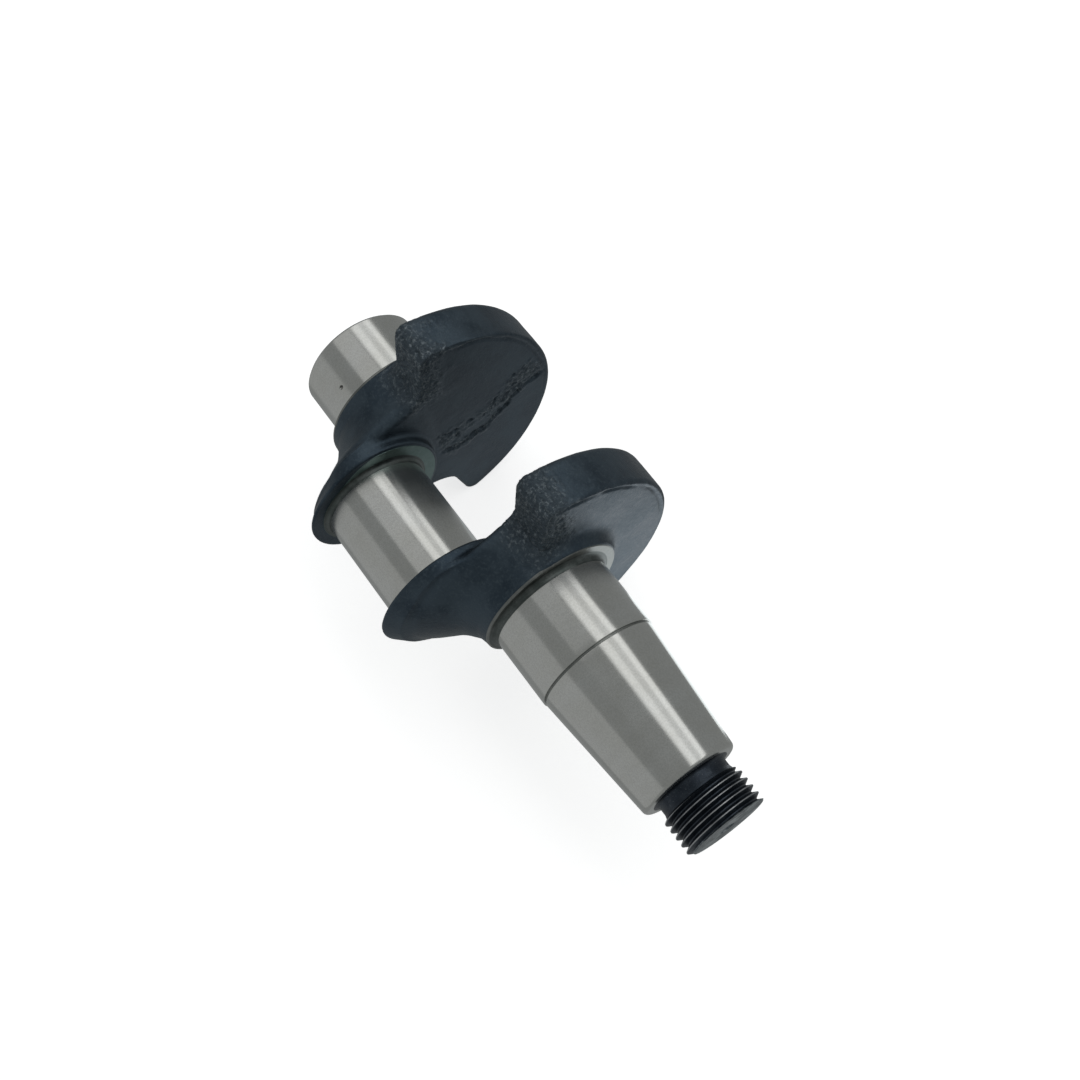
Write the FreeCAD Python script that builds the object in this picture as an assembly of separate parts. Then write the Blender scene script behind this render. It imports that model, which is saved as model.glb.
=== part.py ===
"""One-piece forged single-throw crankshaft of a small compressor or engine, in millimetres.

+X runs along the crank axis towards the threaded end, the throw points to -Y and the counterweights
to +Y. The origin is the middle of the drive-end main journal. The forging is split where its functions
change, into solids that meet face to face.
"""
import FreeCAD, Part
import math
import os
from FreeCAD import Vector

# Shafts and journals
MAIN_R = 16.5                  # both main journals
DRIVE_JOURNAL_LENGTH = 20.6
FREE_JOURNAL_LENGTH = 18.2
FREE_END_CHAMFER = 0.9
COLLAR_R = 20.2                # hub that stands proud of each web, faced for the bearing
DRIVE_COLLAR_R = 19.9
DRIVE_COLLAR_SHIFT = 1.0       # the drive end's hub was forged this far towards the counterweights
ROOT_FILLET = 1.6              # fillet between a journal and its collar
PIN_R = 14.2
THROW = 19.2                   # half of the stroke
PIN_FILLET = 1.3
PIN_BOSS_R = 19.7

# Webs, as distances from the middle of the crankpin along X
PIN_BOSS_FACE = 16.1
WEB_INNER_FACE = 19.2
WEB_OUTER_FACE = 31.8
COLLAR_FACE = 35.0

# Web outline, looking along X
COUNTERWEIGHT_R = 39.4
END_FACE_OFFSET = 1.55         # where the counterweight's end faces would cross the throw plane
END_FACE_SLOPE = 0.2           # and how much they fall back for each millimetre outwards
CHEEK_HALF_WIDTH = 21.6
BOSS_TIP = 37.5                # reach beyond the crank axis of the boss round the crankpin
BOSS_TIP_INNER = 35.9          # and where it meets the web
SHOULDER_FILLET = 4.4          # between a cheek's side and the counterweight's end face
RIM_CORNER_FILLET = 3.3
WEB_EDGE_ROUND = 2.4
CHEEK_EDGE_ROUND = 2.2
NOSE_TIP_INNER = 35.2          # the cheek's nose reaches this far at the web's inner face
NOSE_TIP_OUTER = 20.7          # and narrows as it falls back to the hub, at NOSE_OUTER_FACE
NOSE_HALF_WIDTH_OUTER = 13.8
NOSE_OUTER_FACE = 28.6

# Flywheel end
RELIEF_WIDTH = 0.5
RELIEF_R = 16.0
TAPER_R = 16.2
TAPER_LENGTH = 35.5
TAPER_RATIO = 6.0              # length for each millimetre off the diameter
SHOULDER_ROUND = 1.2
NECK_R = 9.6
NECK_LENGTH = 3.7
THREAD_R = 10.95               # M22 x 2, right hand
THREAD_PITCH = 2.0
THREAD_DEPTH = 1.25
THREAD_ROOT_HALF = 0.1         # half of the flat at the bottom of the groove
THREAD_LENGTH = 9.9
THREAD_LEAD = 1.1              # chamfer where the thread starts, at the neck
THREAD_CHAMFER = 0.35          # and at the shaft's end
THREAD_PHASE = 0.25            # from the start of the thread to the middle of its groove, on the -Z side

# Woodruff key, 5 x 7.5 mm, in the side of the taper
KEY_WIDTH = 5.0
KEY_DISC_R = 9.5
KEY_HEIGHT = 7.5
KEY_DEPTH = 5.5                # how much of the key's height is below the surface of the taper
KEY_STATION = 23.5             # middle of the key, from the large end; a bearing still passes over the key

# Centre holes in both ends
CENTRE_PILOT_R = 1.0
CENTRE_PILOT_DEPTH = 4.0
CENTRE_CONE_R = 2.1

# Stations along X
DRIVE_COLLAR_X = -DRIVE_JOURNAL_LENGTH / 2
JOURNAL_END_X = DRIVE_JOURNAL_LENGTH / 2
PIN_X = DRIVE_COLLAR_X - COLLAR_FACE
FREE_COLLAR_X = PIN_X - COLLAR_FACE
FREE_END_X = FREE_COLLAR_X - FREE_JOURNAL_LENGTH
TAPER_X = JOURNAL_END_X + RELIEF_WIDTH
SHOULDER_X = TAPER_X + TAPER_LENGTH
THREAD_X = SHOULDER_X + NECK_LENGTH
DRIVE_END_X = THREAD_X + THREAD_LENGTH

X_AXIS = Vector(1, 0, 0)
ORIGIN = Vector(0, 0, 0)


def meridian(x, r, axis_y=0.0):
    """Point of a turned profile, at station x and radius r from an axis at axis_y."""
    return Vector(x, axis_y + r, 0)


def turned(outline, axis_y=0.0):
    """Revolve a closed profile of (x, r) corners. A corner (x, r, xm, rm) is reached by an arc."""
    edges = []
    corners = outline + [outline[0]]
    for start, end in zip(corners, corners[1:]):
        a = meridian(start[0], start[1], axis_y)
        b = meridian(end[0], end[1], axis_y)
        if len(end) == 4:
            edges.append(Part.Arc(a, meridian(end[2], end[3], axis_y), b).toShape())
        else:
            edges.append(Part.LineSegment(a, b).toShape())
    face = Part.Face(Part.Wire(edges))
    return face.revolve(Vector(0, axis_y, 0), X_AXIS, 360)


def mirrored(shape):
    """The same shape on the other side of the crankpin's middle."""
    return shape.mirror(Vector(PIN_X, 0, 0), X_AXIS)


def centre_hole(face_x, into):
    """Lathe centre: a 60 degree cone that leads into a pilot hole, drilled along into (+1 or -1)."""
    cone_depth = (CENTRE_CONE_R - CENTRE_PILOT_R) * math.sqrt(3)
    return turned([
        (face_x - into, 0),
        (face_x - into, CENTRE_CONE_R),
        (face_x, CENTRE_CONE_R),
        (face_x + into * cone_depth, CENTRE_PILOT_R),
        (face_x + into * CENTRE_PILOT_DEPTH, CENTRE_PILOT_R),
        (face_x + into * (CENTRE_PILOT_DEPTH + CENTRE_PILOT_R / 2), 0),
    ])


def free_end_journal():
    root_x = FREE_COLLAR_X - ROOT_FILLET
    body = turned([
        (FREE_END_X, 0),
        (FREE_END_X, MAIN_R - FREE_END_CHAMFER),
        (FREE_END_X + FREE_END_CHAMFER, MAIN_R),
        (root_x, MAIN_R),
        (root_x, 0),
    ])
    return body.cut(centre_hole(FREE_END_X, 1))


def collar(radius, shift):
    """Bearing collar on the drive end's web, with the fillet that carries it into the journal."""
    start = PIN_X + WEB_OUTER_FACE
    bend = ROOT_FILLET * (1 - math.sqrt(0.5))
    rim = turned([(start, 0), (start, radius), (DRIVE_COLLAR_X, radius), (DRIVE_COLLAR_X, 0)], shift)
    root = turned([
        (start, 0),
        (start, MAIN_R + ROOT_FILLET),
        (DRIVE_COLLAR_X, MAIN_R + ROOT_FILLET),
        (DRIVE_COLLAR_X + ROOT_FILLET, MAIN_R, DRIVE_COLLAR_X + bend, MAIN_R + bend),
        (DRIVE_COLLAR_X + ROOT_FILLET, 0),
    ])
    return rim.fuse(root).removeSplitter()


def yz(side, reach):
    """Point of a web outline: side is along Z, reach is towards the crankpin."""
    return Vector(0, -reach, side)


def end_face_reach(side):
    return END_FACE_OFFSET - END_FACE_SLOPE * abs(side)


def shoulder_points():
    """Ends and middle of the fillet between the cheek's side and the end face, on the +Z side."""
    length = math.hypot(1, END_FACE_SLOPE)
    normal_side = END_FACE_SLOPE / length
    normal_reach = 1 / length
    centre_side = CHEEK_HALF_WIDTH + SHOULDER_FILLET
    centre_reach = end_face_reach(centre_side) + SHOULDER_FILLET * length
    foot = (centre_side - SHOULDER_FILLET * normal_side, centre_reach - SHOULDER_FILLET * normal_reach)
    top = (CHEEK_HALF_WIDTH, centre_reach)
    bisector = math.hypot(1 + normal_side, normal_reach)
    middle = (
        centre_side - SHOULDER_FILLET * (1 + normal_side) / bisector,
        centre_reach - SHOULDER_FILLET * normal_reach / bisector,
    )
    return foot, middle, top


def prism(edges, start, end):
    """Extrude a closed web outline between two distances from the crankpin's middle."""
    face = Part.Face(Part.Wire(edges))
    face.translate(Vector(PIN_X + start, 0, 0))
    return face.extrude(Vector(end - start, 0, 0))


def round_ended(tip, half, foot_reach):
    """Outline of a strip of half width half, from foot_reach to a half-round end that reaches tip."""
    centre = tip - half
    return [
        Part.LineSegment(yz(-half, foot_reach), yz(half, foot_reach)).toShape(),
        Part.LineSegment(yz(half, foot_reach), yz(half, centre)).toShape(),
        Part.Arc(yz(half, centre), yz(0, tip), yz(-half, centre)).toShape(),
        Part.LineSegment(yz(-half, centre), yz(-half, foot_reach)).toShape(),
    ]


def edges_on_face(shape, x):
    """Edges in the plane at station x, apart from straight ones along Z, which are seams."""
    found = []
    for edge in shape.Edges:
        box = edge.BoundBox
        flat = abs(box.XMin - x) < 1e-6 and abs(box.XMax - x) < 1e-6
        seam = box.YMax - box.YMin < 1e-6
        if flat and not seam:
            found.append(edge)
    return found


def shoulders():
    """Full-thickness root of the cheek, whose fillets run out into the counterweight's end faces."""
    foot, middle, top = shoulder_points()
    outline = [
        Part.LineSegment(yz(-foot[0], foot[1]), yz(foot[0], foot[1])).toShape(),
        Part.Arc(yz(*foot), yz(*middle), yz(*top)).toShape(),
        Part.LineSegment(yz(*top), yz(-top[0], top[1])).toShape(),
        Part.Arc(yz(-top[0], top[1]), yz(-middle[0], middle[1]), yz(-foot[0], foot[1])).toShape(),
    ]
    block = prism(outline, WEB_INNER_FACE, WEB_OUTER_FACE)
    return block.makeFillet(CHEEK_EDGE_ROUND, edges_on_face(block, PIN_X + WEB_INNER_FACE))


def hub():
    """Round middle of the web, down to the seam with the counterweight."""
    seam = shoulder_points()[0][1]
    start = WEB_INNER_FACE + 1.5 * CHEEK_EDGE_ROUND
    thickness = WEB_OUTER_FACE - start
    base = Vector(PIN_X + start, 0, 0)
    cylinder = Part.makeCylinder(CHEEK_HALF_WIDTH, thickness, base, X_AXIS)
    keep = Part.makeBox(
        thickness, COUNTERWEIGHT_R, 2 * COUNTERWEIGHT_R,
        Vector(PIN_X + start, -seam - COUNTERWEIGHT_R, -COUNTERWEIGHT_R),
    )
    return cylinder.common(keep)


def nose():
    """Sloping, narrowing nose that carries the cheek from the hub out to the crankpin."""
    inner = Part.Wire(round_ended(NOSE_TIP_INNER, CHEEK_HALF_WIDTH, 0))
    outer = Part.Wire(round_ended(NOSE_TIP_OUTER, NOSE_HALF_WIDTH_OUTER, 0))
    inner.translate(Vector(PIN_X + WEB_INNER_FACE, 0, 0))
    outer.translate(Vector(PIN_X + NOSE_OUTER_FACE, 0, 0))
    block = Part.makeLoft([inner, outer], True, True)
    return block.makeFillet(CHEEK_EDGE_ROUND, edges_on_face(block, PIN_X + WEB_INNER_FACE))


def drive_end_cheek():
    return shoulders().fuse([hub(), nose()]).removeSplitter()


def counterweight_outline():
    """Half disc with sloping end faces, closed by the seam where the cheek stands on it."""
    foot = shoulder_points()[0]
    length = math.hypot(1, END_FACE_SLOPE)
    inner_r = COUNTERWEIGHT_R - RIM_CORNER_FILLET
    # centre of the corner rounding: one radius below the end face and one inside the rim
    drop = END_FACE_OFFSET - RIM_CORNER_FILLET * length
    a = 1 + END_FACE_SLOPE ** 2
    b = -2 * END_FACE_SLOPE * drop
    c = drop ** 2 - inner_r ** 2
    side = (-b + math.sqrt(b * b - 4 * a * c)) / (2 * a)
    reach = drop - END_FACE_SLOPE * side
    on_face = (
        side + RIM_CORNER_FILLET * END_FACE_SLOPE / length, reach + RIM_CORNER_FILLET / length
    )
    scale = COUNTERWEIGHT_R / inner_r
    on_rim = (side * scale, reach * scale)
    towards = (on_face[0] + on_rim[0] - 2 * side, on_face[1] + on_rim[1] - 2 * reach)
    norm = RIM_CORNER_FILLET / math.hypot(*towards)
    middle = (side + towards[0] * norm, reach + towards[1] * norm)

    def flip(point):
        return (-point[0], point[1])

    return [
        Part.LineSegment(yz(*flip(foot)), yz(*foot)).toShape(),
        Part.LineSegment(yz(*foot), yz(*on_face)).toShape(),
        Part.Arc(yz(*on_face), yz(*middle), yz(*on_rim)).toShape(),
        Part.Arc(yz(*on_rim), yz(0, -COUNTERWEIGHT_R), yz(*flip(on_rim))).toShape(),
        Part.Arc(yz(*flip(on_rim)), yz(*flip(middle)), yz(*flip(on_face))).toShape(),
        Part.LineSegment(yz(*flip(on_face)), yz(*flip(foot))).toShape(),
    ]


def drive_end_counterweight():
    block = prism(counterweight_outline(), WEB_INNER_FACE, WEB_OUTER_FACE)
    inner_edges = edges_on_face(block, PIN_X + WEB_INNER_FACE)
    outer_edges = edges_on_face(block, PIN_X + WEB_OUTER_FACE)
    return block.makeFillet(WEB_EDGE_ROUND, inner_edges + outer_edges)


def drive_end_pin_boss():
    """Ground boss round the crankpin, sloped back at the cheek's tip, with the pin's fillet."""
    bend = PIN_FILLET * (1 - math.sqrt(0.5))
    face_x = PIN_X + PIN_BOSS_FACE
    boss = turned([
        (face_x - PIN_FILLET, 0),
        (face_x - PIN_FILLET, PIN_R),
        (face_x, PIN_R + PIN_FILLET, face_x - bend, PIN_R + bend),
        (face_x, PIN_BOSS_R),
        (PIN_X + WEB_INNER_FACE, PIN_BOSS_R),
        (PIN_X + WEB_INNER_FACE, 0),
    ], -THROW)
    face_outline = Part.Wire(round_ended(BOSS_TIP, CHEEK_HALF_WIDTH, -BOSS_TIP))
    web_outline = Part.Wire(round_ended(BOSS_TIP_INNER, CHEEK_HALF_WIDTH, -BOSS_TIP))
    pin_outline = face_outline.copy()
    pin_outline.translate(Vector(face_x - 2 * PIN_FILLET, 0, 0))
    face_outline.translate(Vector(face_x, 0, 0))
    web_outline.translate(Vector(PIN_X + WEB_INNER_FACE, 0, 0))
    near_pin = Part.makeLoft([pin_outline, face_outline], True, True)
    near_web = Part.makeLoft([face_outline, web_outline], True, True)
    return boss.common(near_pin.fuse(near_web)).removeSplitter()


def crankpin():
    half = PIN_BOSS_FACE - PIN_FILLET
    corners = [(PIN_X - half, 0), (PIN_X - half, PIN_R), (PIN_X + half, PIN_R), (PIN_X + half, 0)]
    return turned(corners, -THROW)


def drive_end_journal():
    start = DRIVE_COLLAR_X + ROOT_FILLET
    return turned([(start, 0), (start, MAIN_R), (JOURNAL_END_X, MAIN_R), (JOURNAL_END_X, 0)])


def grinding_relief():
    return turned([(JOURNAL_END_X, 0), (JOURNAL_END_X, RELIEF_R), (TAPER_X, RELIEF_R), (TAPER_X, 0)])


def taper_radius(from_large_end):
    return TAPER_R - from_large_end / TAPER_RATIO / 2


def key_disc():
    """Disc that the Woodruff key is a segment of, and that the cutter of its keyway follows."""
    centre_z = -(taper_radius(KEY_STATION) - KEY_DEPTH + KEY_DISC_R)
    base = Vector(TAPER_X + KEY_STATION, -KEY_WIDTH / 2, centre_z)
    return Part.makeCylinder(KEY_DISC_R, KEY_WIDTH, base, Vector(0, 1, 0))


def woodruff_key():
    bottom = taper_radius(KEY_STATION) - KEY_DEPTH
    keep = Part.makeBox(
        2 * KEY_DISC_R, KEY_WIDTH, KEY_HEIGHT,
        Vector(TAPER_X + KEY_STATION - KEY_DISC_R, -KEY_WIDTH / 2, -(bottom + KEY_HEIGHT)),
    )
    return key_disc().common(keep)


def flywheel_taper():
    end_r = taper_radius(TAPER_LENGTH)
    bend = SHOULDER_ROUND * (1 - math.sqrt(0.5))
    body = turned([
        (TAPER_X, 0),
        (TAPER_X, TAPER_R),
        (SHOULDER_X - SHOULDER_ROUND, taper_radius(TAPER_LENGTH - SHOULDER_ROUND)),
        (SHOULDER_X, end_r - SHOULDER_ROUND, SHOULDER_X - bend, end_r - bend),
        (SHOULDER_X, 0),
    ])
    return body.cut(key_disc())


def thread_relief_neck():
    return turned([(SHOULDER_X, 0), (SHOULDER_X, NECK_R), (THREAD_X, NECK_R), (THREAD_X, 0)])


def thread_groove():
    """Helical V groove of the thread, from one pitch before its start to one past its end."""
    helix = Part.makeLongHelix(THREAD_PITCH, THREAD_LENGTH + 2 * THREAD_PITCH, THREAD_R)
    clearance = 0.2
    root_r = THREAD_R - THREAD_DEPTH
    top_r = THREAD_R + clearance
    top_half = THREAD_ROOT_HALF + (top_r - root_r) * math.tan(math.radians(30))
    corners = [
        Vector(top_r, 0, -top_half),
        Vector(top_r, 0, top_half),
        Vector(root_r, 0, THREAD_ROOT_HALF),
        Vector(root_r, 0, -THREAD_ROOT_HALF),
    ]
    profile = Part.makePolygon(corners + [corners[0]])
    groove = Part.Wire(helix).makePipeShell([profile], True, True)
    groove.rotate(ORIGIN, Vector(0, 1, 0), 90)
    groove.translate(Vector(THREAD_X + THREAD_PHASE - THREAD_PITCH, 0, 0))
    return groove


def flywheel_thread():
    blank = turned([
        (THREAD_X, 0),
        (THREAD_X, THREAD_R - THREAD_LEAD),
        (THREAD_X + THREAD_LEAD / 2, THREAD_R),
        (DRIVE_END_X - THREAD_CHAMFER, THREAD_R),
        (DRIVE_END_X, THREAD_R - THREAD_CHAMFER),
        (DRIVE_END_X, 0),
    ])
    return blank.cut(thread_groove()).cut(centre_hole(DRIVE_END_X, -1))


def all_nodes():
    """Every node's name and solid. The free end's web repeats the drive end's, mirrored."""
    nodes = {
        "free_end_journal": free_end_journal(),
        "free_end_collar": mirrored(collar(COLLAR_R, 0)),
        "crankpin": crankpin(),
        "drive_end_collar": collar(DRIVE_COLLAR_R, DRIVE_COLLAR_SHIFT),
        "drive_end_journal": drive_end_journal(),
        "grinding_relief": grinding_relief(),
        "flywheel_taper": flywheel_taper(),
        "woodruff_key": woodruff_key(),
        "thread_relief_neck": thread_relief_neck(),
        "flywheel_thread": flywheel_thread(),
    }
    web = {
        "cheek": drive_end_cheek(),
        "counterweight": drive_end_counterweight(),
        "pin_boss": drive_end_pin_boss(),
    }
    for name, shape in web.items():
        nodes["drive_end_" + name] = shape
        nodes["free_end_" + name] = mirrored(shape)
    return nodes


def main():
    os.makedirs("parts", exist_ok=True)
    for name, shape in sorted(all_nodes().items()):
        solid = shape.Solids[0]
        print(name, "solids", len(shape.Solids), "volume", round(solid.Volume, 1), "valid", solid.isValid())
        solid.exportStep(os.path.join("parts", name + ".step"))


main()
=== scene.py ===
"""Looks of the forged crankshaft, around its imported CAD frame.

Metres. Shapes are worked out in drawing units of 1.1 mm, in which the main journals are 30 across.
"""
import math

import bpy
import numpy as np
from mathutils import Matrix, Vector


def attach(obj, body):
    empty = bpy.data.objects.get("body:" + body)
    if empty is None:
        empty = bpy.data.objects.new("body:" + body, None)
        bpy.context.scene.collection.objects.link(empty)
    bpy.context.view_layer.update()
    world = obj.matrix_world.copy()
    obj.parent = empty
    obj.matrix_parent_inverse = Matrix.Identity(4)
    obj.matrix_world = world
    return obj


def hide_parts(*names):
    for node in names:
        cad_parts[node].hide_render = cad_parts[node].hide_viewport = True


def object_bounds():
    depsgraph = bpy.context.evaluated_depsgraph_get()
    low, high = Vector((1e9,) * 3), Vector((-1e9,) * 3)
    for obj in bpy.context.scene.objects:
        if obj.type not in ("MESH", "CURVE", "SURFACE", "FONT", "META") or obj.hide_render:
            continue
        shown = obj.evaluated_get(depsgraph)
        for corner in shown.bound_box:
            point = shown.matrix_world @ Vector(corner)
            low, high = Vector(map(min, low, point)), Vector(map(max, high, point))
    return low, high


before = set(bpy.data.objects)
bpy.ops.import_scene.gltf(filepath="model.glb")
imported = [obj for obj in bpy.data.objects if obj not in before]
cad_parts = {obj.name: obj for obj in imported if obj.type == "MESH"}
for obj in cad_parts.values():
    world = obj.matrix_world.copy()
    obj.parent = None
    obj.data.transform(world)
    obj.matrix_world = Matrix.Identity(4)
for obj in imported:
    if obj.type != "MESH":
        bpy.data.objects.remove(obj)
cad_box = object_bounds()
UNIT = 0.0011

# ---------------------------------------------------------------- dimensions in drawing units, as in the CAD
MAIN_R = 15.0
PIN_R = 12.9
THROW = 17.45
PIN_X = -41.18
DRIVE_COLLAR_X = -9.364
JOURNAL_END_X = 9.364
FREE_COLLAR_X = -73.0
FREE_END_X = -89.545
TAPER_X = 9.818
SHOULDER_X = 42.09
THREAD_X = 45.455
DRIVE_END_X = 54.455
TAPER_R = 14.73
TAPER_RATIO = 6.0
KEY_WIDTH = 5.0 / 1.1
KEY_DISC_R = 9.5 / 1.1
KEY_DEPTH = 5.5 / 1.1
KEY_STATION = 23.5 / 1.1
ROOT_FILLET = 1.5
PIN_FILLET = 1.2
RELIEF_R = 14.55
NECK_R = 8.72
THREAD_R = 9.95
THREAD_ROOT_R = 8.78
THREAD_PITCH = 2.0 / 1.1
THREAD_CREST = 47.53            # station of a crest on the +Z side
THREAD_CREST_HALF = 0.10        # half of the flat on the crests
CENTRE_R = 1.9                  # mouth of the centre in each end of the shaft
CENTRE_PILOT_R = 0.9
CENTRE_DEPTH = 4.0
CENTRE_CONE = (CENTRE_R - CENTRE_PILOT_R) * math.sqrt(3)
PIT_X = -78.5                   # middle of the small pit on the free end's journal
PIT_ANGLE = 0.925               # and its angle from -Y towards +Z

# the webs; faces are given by their distance from the crankpin's middle
PIN_BOSS_FACE = 14.65
WEB_INNER = 17.45
NOSE_OUTER = 26.0
NOSE_TOP = 27.5
WEB_OUTER = 28.9
COLLAR_FACE = 31.8
COUNTERWEIGHT_R = 35.8
END_OFFSET = 1.4                # where the counterweight's end faces cross the throw plane
END_SLOPE = 0.2                 # and how much they fall back outwards
RIM_CORNER = 3.0
CHEEK_HALF = 19.6
NOSE_TIP = 31.8                 # reach of the nose on the crankpin's side
NOSE_TIP_OUTER = 18.6           # and at NOSE_OUTER
NOSE_HALF_OUTER = 12.5
PIN_BOSS_R = 17.9
PIN_BOSS_TRIM = 0.35            # taken off the boss's outward side at its face
PIN_BOSS_CONE = 0.95            # and for each unit away from it
PIN_BOSS_EDGE = 0.7
PIN_RING_R = 17.15              # ground ring on the boss's face
HUB_FILLET = 5.0                # between hub and nose
SHOULDER_FILLET = 4.0           # between cheek and counterweight
CHEEK_SIDE_EDGE = 3.4


# ---------------------------------------------------------------- small numeric tools
def smoothstep(a, b, x):
    t = np.clip((x - a) / (b - a), 0.0, 1.0)
    return t * t * (3 - 2 * t)


class Noise:
    """Smooth value noise on a wrapped lattice of seeded random numbers, about -1 to 1."""

    size = 48

    def __init__(self, seed):
        size = self.size
        self.lattice = np.random.default_rng(seed).uniform(-1, 1, (size, size, size)).astype(np.float32)

    def __call__(self, points, scale):
        q = points / scale
        base = np.floor(q).astype(np.int64)
        f = (q - base).astype(np.float32)
        f = f * f * f * (f * (f * 6 - 15) + 10)
        base %= self.size
        nxt = (base + 1) % self.size
        total = np.zeros(len(points), np.float32)
        for i in (0, 1):
            for j in (0, 1):
                for k in (0, 1):
                    ix = nxt[:, 0] if i else base[:, 0]
                    iy = nxt[:, 1] if j else base[:, 1]
                    iz = nxt[:, 2] if k else base[:, 2]
                    wx = f[:, 0] if i else 1 - f[:, 0]
                    wy = f[:, 1] if j else 1 - f[:, 1]
                    wz = f[:, 2] if k else 1 - f[:, 2]
                    total += self.lattice[ix, iy, iz] * wx * wy * wz
        return total

    def fractal(self, points, scale, octaves, roughness=0.55):
        total = np.zeros(len(points), np.float32)
        weight = 1.0
        norm = 0.0
        for octave in range(octaves):
            total += weight * self(points + 17.3 * octave, scale / 2 ** octave)
            norm += weight
            weight *= roughness
        return total / norm


def round_union(a, b, r):
    u = np.maximum(r - a, 0)
    v = np.maximum(r - b, 0)
    return np.maximum(r, np.minimum(a, b)) - np.sqrt(u * u + v * v)


def round_common(a, b, r):
    u = np.maximum(r + a, 0)
    v = np.maximum(r + b, 0)
    return np.minimum(-r, np.maximum(a, b)) + np.sqrt(u * u + v * v)


# ---------------------------------------------------------------- the webs' shape
class Web:
    """Signed distance of one web. u is the distance from the crankpin's middle, y and z as in the frame."""

    def __init__(self, side, seed, hub_r, hub_y, inner_edge, outer_edge):
        self.side = side
        self.seed = seed
        self.hub_r = hub_r
        self.hub_y = hub_y
        self.inner_edge = inner_edge
        self.outer_edge = outer_edge

    def outline(self, y, z):
        """Counterweight's half disc with sloping end faces and rounded corners, looking along X."""
        disc = np.sqrt(y * y + z * z) - COUNTERWEIGHT_R
        end = (END_OFFSET - END_SLOPE * np.abs(z) + y) / math.hypot(1, END_SLOPE)
        return round_common(disc, -end, RIM_CORNER)

    def nose(self, u, y, z):
        """Strip with a round end that narrows and falls back as it leaves the crankpin's side."""
        length = NOSE_OUTER - WEB_INNER
        t = np.clip((u - WEB_INNER) / length, 0, 1.3)
        half = CHEEK_HALF + (NOSE_HALF_OUTER - CHEEK_HALF) * t
        tip = NOSE_TIP + (NOSE_TIP_OUTER - NOSE_TIP) * t
        along = np.maximum(-y - tip + half, 0)
        slope = math.hypot(1, 0.75 * (NOSE_TIP - NOSE_TIP_OUTER) / length)
        strip = (np.sqrt(z * z + along * along) - half) / slope
        return np.maximum(strip, y - 1.0)

    def boss(self, u, y, z):
        """Boss round the crankpin, which tapers in towards the web where the nose ends."""
        reach = np.sqrt((y + THROW) ** 2 + z * z)
        outward = smoothstep(-0.1, 0.8, -(y + THROW) / np.maximum(reach, 0.001))
        away = np.maximum(u - PIN_BOSS_FACE, 0)
        barrel = reach - PIN_BOSS_R + outward * (PIN_BOSS_TRIM + PIN_BOSS_CONE * away)
        barrel = barrel / (1 + 0.4 * PIN_BOSS_CONE * outward)
        face = PIN_BOSS_FACE + 0.1 - u
        return np.maximum(round_common(barrel, face, PIN_BOSS_EDGE), u - WEB_INNER - 0.8)

    def distance(self, u, y, z):
        block = round_common(self.outline(y, z), u - WEB_OUTER, self.outer_edge)
        hub = np.sqrt((y - self.hub_y) ** 2 + z * z) - self.hub_r
        hub = round_common(hub, u - (COLLAR_FACE - 0.3), 0.3)
        nose = round_common(self.nose(u, y, z), u - NOSE_TOP, 1.0)
        cheek = round_union(hub, nose, HUB_FILLET)
        body = round_union(block, cheek, SHOULDER_FILLET)
        # the pin-side face, more rounded along the cheek's sides than elsewhere
        side = smoothstep(3.0, -4.0, y) * smoothstep(-31.0, -22.0, y)
        edge = self.inner_edge + (CHEEK_SIDE_EDGE - self.inner_edge) * side
        body = round_common(body, WEB_INNER - u, edge)
        return round_union(body, self.boss(u, y, z), 1.2)


def surface_net(field, origin, step):
    """Quads through the zero surface of a sampled field, one vertex to each cell that it crosses."""
    inside = field < 0
    cells = tuple(n - 1 for n in field.shape)
    total = np.zeros(cells + (3,), np.float32)
    count = np.zeros(cells, np.float32)
    index = np.indices(cells)
    for axis in range(3):
        for a in (0, 1):
            for b in (0, 1):
                offsets = [a, b]
                offsets.insert(axis, 0)
                start = tuple(slice(o, o + n) for o, n in zip(offsets, cells))
                offsets[axis] = 1
                end = tuple(slice(o, o + n) for o, n in zip(offsets, cells))
                offsets[axis] = 0
                f0, f1 = field[start], field[end]
                cross = inside[start] != inside[end]
                t = f0[cross] / (f0[cross] - f1[cross])
                for k in range(3):
                    total[..., k][cross] += offsets[k] + (t if k == axis else 0)
                count[cross] += 1
    used = count > 0
    number = -np.ones(cells, np.int64)
    number[used] = np.arange(int(used.sum()))
    where = np.stack([index[k][used] for k in range(3)], 1)
    verts = (where + total[used] / count[used][:, None]) * step + origin
    faces = []
    for axis in range(3):
        b, c = (axis + 1) % 3, (axis + 2) % 3
        low = [slice(0, n) for n in cells]
        low[b] = slice(1, cells[b])
        low[c] = slice(1, cells[c])
        high = list(low)
        high[axis] = slice(1, cells[axis] + 1)
        s0 = inside[tuple(low)]
        s1 = inside[tuple(high)]

        def cell(db, dc):
            pick = list(low)
            pick[b] = slice(1 - db, cells[b] - db)
            pick[c] = slice(1 - dc, cells[c] - dc)
            return number[tuple(pick)]

        ring = np.stack([cell(0, 0), cell(1, 0), cell(1, 1), cell(0, 1)], -1)
        out = s0 & ~s1
        back = ~s0 & s1
        faces.append(ring[out])
        faces.append(ring[back][:, ::-1])
    return verts, np.concatenate(faces)


def gradient(web, p, h=0.02):
    """Outward direction of the web's surface at points p in (u, y, z), and the distance there."""
    d = web.distance(p[:, 0], p[:, 1], p[:, 2])
    g = np.empty_like(p)
    for k in range(3):
        q = p.copy()
        q[:, k] += h
        r = p.copy()
        r[:, k] -= h
        ahead = web.distance(q[:, 0], q[:, 1], q[:, 2])
        behind = web.distance(r[:, 0], r[:, 1], r[:, 2])
        g[:, k] = (ahead - behind) / (2 * h)
    return d, g


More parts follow.
